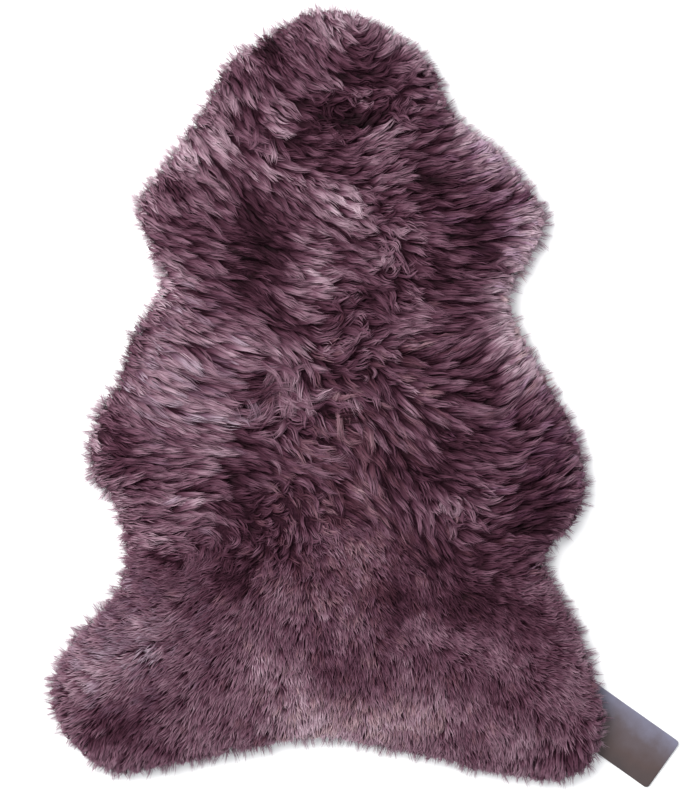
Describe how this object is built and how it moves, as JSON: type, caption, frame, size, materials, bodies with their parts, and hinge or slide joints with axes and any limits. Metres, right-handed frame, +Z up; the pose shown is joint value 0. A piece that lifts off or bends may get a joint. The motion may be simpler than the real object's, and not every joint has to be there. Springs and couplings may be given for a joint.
{
  "type": "sheepskin rug",
  "caption": "Long-wool sheepskin rug: a dyed pelt with neck, flanks and hind lobes, lying wool up, with a plain leather label under a hind edge.",
  "frame": {"origin": "on the floor, under the middle of the back, in the plane of the hide's flat underside", "axes": "+Z up, out of the wool; +Y along the back towards the neck; +X to the pelt's right side as seen from above with the neck away from the viewer"},
  "size_m": [0.7887, 0.9776, 0.056],
  "materials": {
    "wool": "soft dyed long wool, mauve tips over dark plum roots",
    "hide": "suede underside of the pelt, seen only from below",
    "label_leather": "smooth grey-brown leather, blank"
  },
  "bodies": {
    "root": {"sheepskin": "wool", "label": "label_leather"}
  },
  "joints": []
}
